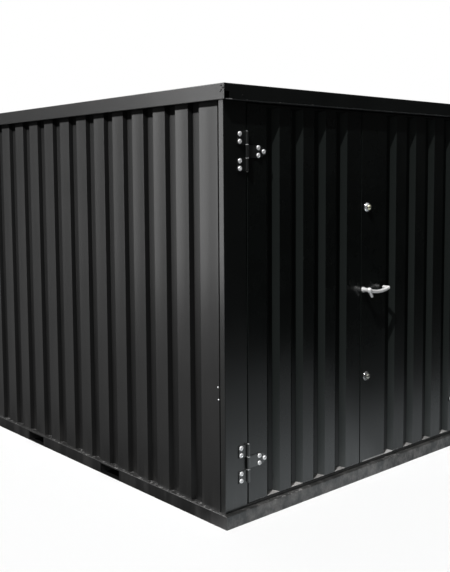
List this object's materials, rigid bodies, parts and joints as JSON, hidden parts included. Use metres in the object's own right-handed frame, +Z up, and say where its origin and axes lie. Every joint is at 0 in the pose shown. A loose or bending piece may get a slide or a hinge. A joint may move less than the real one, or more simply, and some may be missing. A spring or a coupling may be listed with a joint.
{
  "type": "flat-pack steel storage container",
  "caption": "Black demountable storage container with profiled steel walls, fork pockets and a double door of recessed leaves with a lever handle.",
  "frame": {"origin": "centre of the footprint of the base frame, at ground level", "axes": "+Z up; the doors face -Y, so +X is to the right of someone who faces them"},
  "size_m": [2.21, 3.083, 2.13],
  "materials": {
    "paint": "satin black paint",
    "zinc": "bright zinc plate",
    "stainless": "polished stainless steel",
    "floor": "film-faced floor board"
  },
  "bodies": {
    "container": {"base_rail_front": "paint", "base_rail_back": "paint", "base_rail_left": "paint", "base_rail_right": "paint", "fork_channel_front": "paint", "fork_channel_back": "paint", "floor_joists": "paint", "door_sill": "paint", "post_front_left": "paint", "post_front_right": "paint", "post_back_left": "paint", "post_back_right": "paint", "wall_left": "paint", "wall_right": "paint", "wall_back": "paint", "door_header": "paint", "roof_rail_front": "paint", "roof_rail_back": "paint", "roof_rail_left": "paint", "roof_rail_right": "paint", "roof_bows": "paint", "roof_sheet": "paint", "hinge_plates_left": "paint", "hinge_plates_right": "paint", "floor_boards": "floor", "frame_bolts_left": "zinc", "frame_bolts_right": "zinc"},
    "left_door": {"leaf_left": "paint", "leaf_rails_left": "paint", "hinge_tongues_left": "paint", "leaf_bolts_left": "zinc", "shoot_bolts": "zinc"},
    "right_door": {"leaf_right": "paint", "leaf_rails_right": "paint", "hinge_tongues_right": "paint", "leaf_bolts_right": "zinc", "lock_bolts": "zinc", "lock_case": "zinc", "lock_rods": "zinc", "rod_guides": "zinc", "handle_collar": "stainless"},
    "lever": {"lever_handle": "stainless"}
  },
  "joints": [
    {"name": "left_door_hinge", "type": "hinge", "parent": "container", "child": "left_door", "pos_m": [-0.943, -1.507, 1.055], "axis": [0, 0, -1], "range_deg": [0, 175]},
    {"name": "right_door_hinge", "type": "hinge", "parent": "container", "child": "right_door", "pos_m": [0.943, -1.507, 1.055], "axis": [0, 0, 1], "range_deg": [0, 175]},
    {"name": "lever_turn", "type": "hinge", "parent": "right_door", "child": "lever", "pos_m": [-0.052, -1.518, 1.07], "axis": [0, 1, 0], "range_deg": [0, 45], "stiffness_Nm_per_rad": 2, "springref_deg": -34.38}
  ]
}
